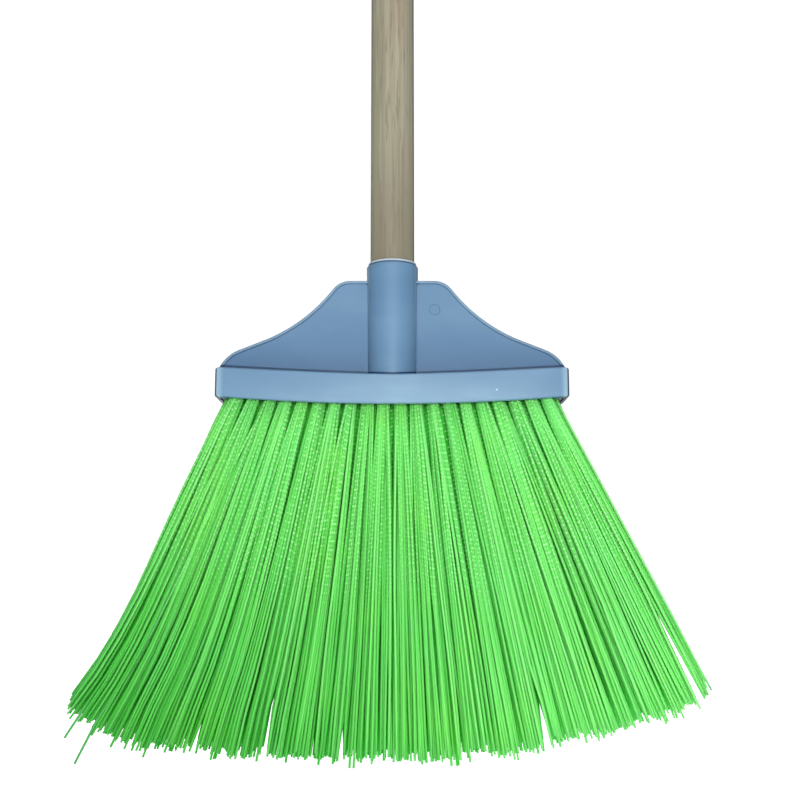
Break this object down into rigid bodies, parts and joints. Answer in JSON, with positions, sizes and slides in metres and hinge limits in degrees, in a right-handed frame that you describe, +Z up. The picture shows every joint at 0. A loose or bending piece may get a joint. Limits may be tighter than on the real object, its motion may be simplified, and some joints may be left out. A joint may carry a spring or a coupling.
{
  "type": "broom",
  "caption": "Upright fan broom: round wooden handle pushed into the socket of a winged plastic head that holds splayed rows of long bristle tufts.",
  "frame": {"origin": "bottom centre of the bristle tips, under the middle of the head, with the broom upright", "axes": "+Z up along the handle, +X along the head's width, front faces -Y"},
  "size_m": [0.3406, 0.0592, 1.3928],
  "materials": {
    "handle_wood": "matte",
    "head_plastic": "satin",
    "block_plastic": "matte",
    "bristle": "satin"
  },
  "bodies": {
    "head": {"head": "head_plastic", "tuft_block": "block_plastic"},
    "handle": {"handle": "handle_wood"},
    "bristles": {"front_tuft_01": "bristle", "front_tuft_02": "bristle", "front_tuft_03": "bristle", "front_tuft_04": "bristle", "front_tuft_05": "bristle", "front_tuft_06": "bristle", "front_tuft_07": "bristle", "front_tuft_08": "bristle", "front_tuft_09": "bristle", "front_tuft_10": "bristle", "front_tuft_11": "bristle", "front_tuft_12": "bristle", "front_tuft_13": "bristle", "front_tuft_14": "bristle", "front_tuft_15": "bristle", "front_tuft_16": "bristle", "front_tuft_17": "bristle", "front_tuft_18": "bristle", "front_tuft_19": "bristle", "front_tuft_20": "bristle", "middle_tufts": "bristle", "back_tuft_01": "bristle", "back_tuft_02": "bristle", "back_tuft_03": "bristle", "back_tuft_04": "bristle", "back_tuft_05": "bristle", "back_tuft_06": "bristle", "back_tuft_07": "bristle", "back_tuft_08": "bristle", "back_tuft_09": "bristle", "back_tuft_10": "bristle", "back_tuft_11": "bristle", "back_tuft_12": "bristle", "back_tuft_13": "bristle", "back_tuft_14": "bristle", "back_tuft_15": "bristle", "back_tuft_16": "bristle", "back_tuft_17": "bristle", "back_tuft_18": "bristle", "back_tuft_19": "bristle", "back_tuft_20": "bristle"}
  },
  "joints": [
    {"name": "handle_pull", "type": "slide", "parent": "head", "child": "handle", "axis": [0, 0, 1], "range_m": [0, 0.07]},
    {"name": "bristle_flex", "type": "hinge", "parent": "head", "child": "bristles", "pos_m": [0, 0, 0.1775], "axis": [1, 0, 0], "range_deg": [-25, 25], "stiffness_Nm_per_rad": 6, "deforming": ["front_tuft_01", "front_tuft_02", "front_tuft_03", "front_tuft_04", "front_tuft_05", "front_tuft_06", "front_tuft_07", "front_tuft_08", "front_tuft_09", "front_tuft_10", "front_tuft_11", "front_tuft_12", "front_tuft_13", "front_tuft_14", "front_tuft_15", "front_tuft_16", "front_tuft_17", "front_tuft_18", "front_tuft_19", "front_tuft_20", "middle_tufts", "back_tuft_01", "back_tuft_02", "back_tuft_03", "back_tuft_04", "back_tuft_05", "back_tuft_06", "back_tuft_07", "back_tuft_08", "back_tuft_09", "back_tuft_10", "back_tuft_11", "back_tuft_12", "back_tuft_13", "back_tuft_14", "back_tuft_15", "back_tuft_16", "back_tuft_17", "back_tuft_18", "back_tuft_19", "back_tuft_20"]}
  ]
}
